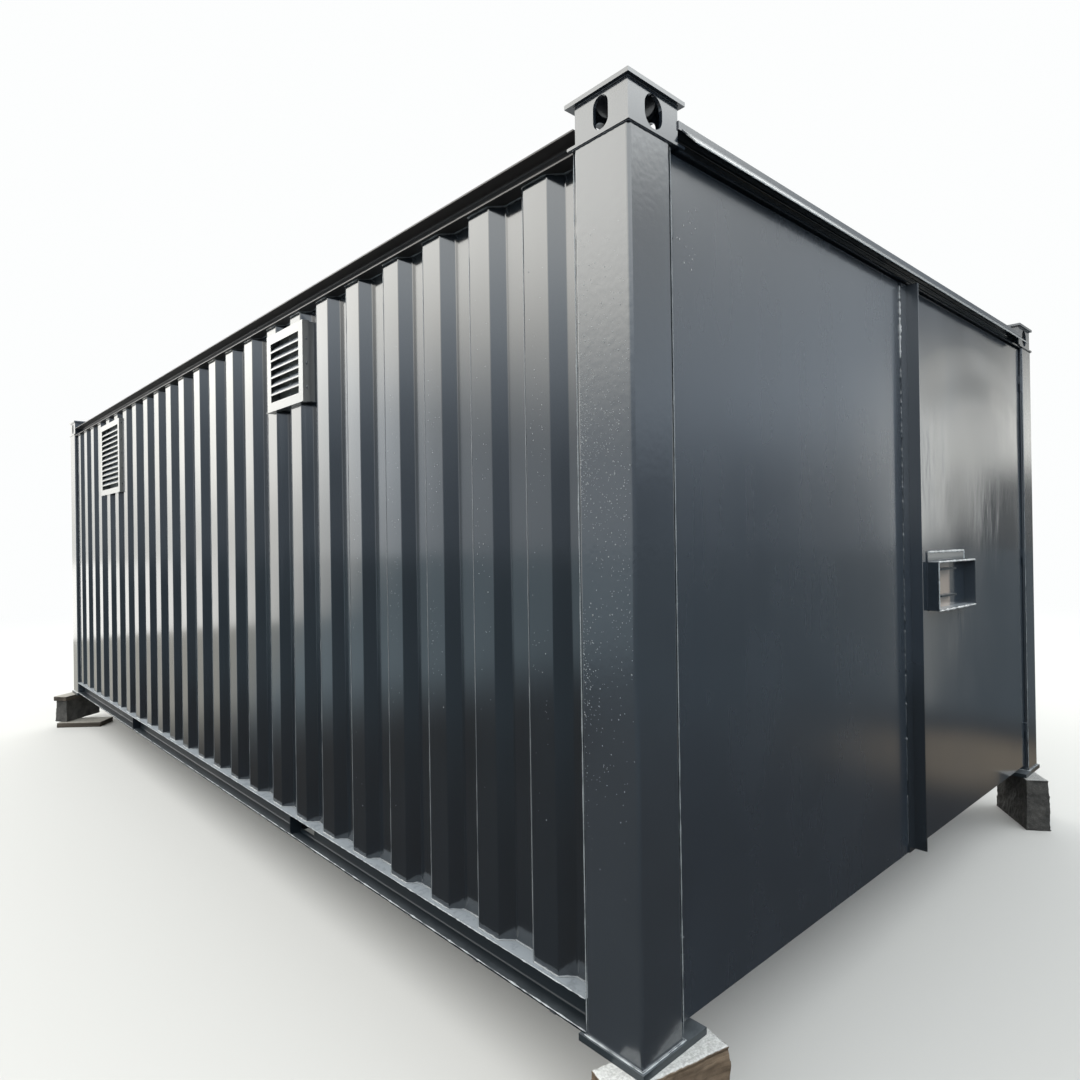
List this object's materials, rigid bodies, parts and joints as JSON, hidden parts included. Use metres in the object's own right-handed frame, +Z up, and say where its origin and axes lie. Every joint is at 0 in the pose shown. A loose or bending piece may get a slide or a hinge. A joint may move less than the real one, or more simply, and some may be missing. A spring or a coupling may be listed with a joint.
{
  "type": "steel site storage container",
  "caption": "Steel storage container with corrugated walls, two hinged end doors, a lock box, louvred vents and corner lifting blocks, on support blocks.",
  "frame": {"origin": "on the ground below the middle of the plan", "axes": "+Z up, +Y along the length from the doors to the closed end, +X to the right when facing the doors"},
  "size_m": [4.005, 7.3114, 2.871],
  "materials": {
    "painted_steel": "anthracite gloss paint",
    "timber": "weathered, rough sawn",
    "concrete": "rough dark concrete",
    "floor_boards": "plain plywood"
  },
  "bodies": {
    "store": {"base_plates": "painted_steel", "bottom_rail_left": "painted_steel", "bottom_rail_rear": "painted_steel", "bottom_rail_right": "painted_steel", "cap_plates": "painted_steel", "corner_post_front_left": "painted_steel", "corner_post_front_right": "painted_steel", "corner_post_rear_left": "painted_steel", "corner_post_rear_right": "painted_steel", "door_header": "painted_steel", "door_sill": "painted_steel", "door_stops": "painted_steel", "drip_hood": "painted_steel", "floor_cross_members": "painted_steel", "floor_deck": "floor_boards", "head_plates": "painted_steel", "left_hinge_fixed": "painted_steel", "left_wall": "painted_steel", "lifting_block_front_left": "painted_steel", "lifting_block_front_right": "painted_steel", "lifting_block_rear_left": "painted_steel", "lifting_block_rear_right": "painted_steel", "rail_gussets": "painted_steel", "rear_wall": "painted_steel", "right_hinge_fixed": "painted_steel", "right_wall": "painted_steel", "roof_bows": "painted_steel", "roof_edges": "painted_steel", "roof_sheet": "painted_steel", "small_vent_left": "painted_steel", "small_vent_right": "painted_steel", "support_boards": "timber", "support_front_left": "timber", "support_front_right": "concrete", "support_rear_left": "concrete", "support_rear_right": "concrete", "tall_vent_left": "painted_steel", "tall_vent_right": "painted_steel", "top_rail_left": "painted_steel", "top_rail_rear": "painted_steel", "top_rail_right": "painted_steel"},
    "left_door": {"left_door_skin": "painted_steel", "left_door_frame": "painted_steel", "meeting_bar": "painted_steel", "left_hinge_turning": "painted_steel"},
    "right_door": {"right_door_skin": "painted_steel", "right_door_frame": "painted_steel", "lock_box": "painted_steel", "lock_tabs": "painted_steel", "right_hinge_turning": "painted_steel"}
  },
  "joints": [
    {"name": "left_door_hinge", "type": "hinge", "parent": "store", "child": "left_door", "pos_m": [-1.6375, -3.512, 1.53], "axis": [0, 0, -1], "range_deg": [0, 110]},
    {"name": "right_door_hinge", "type": "hinge", "parent": "store", "child": "right_door", "pos_m": [1.6375, -3.512, 1.53], "axis": [0, 0, 1], "range_deg": [0, 110]}
  ]
}
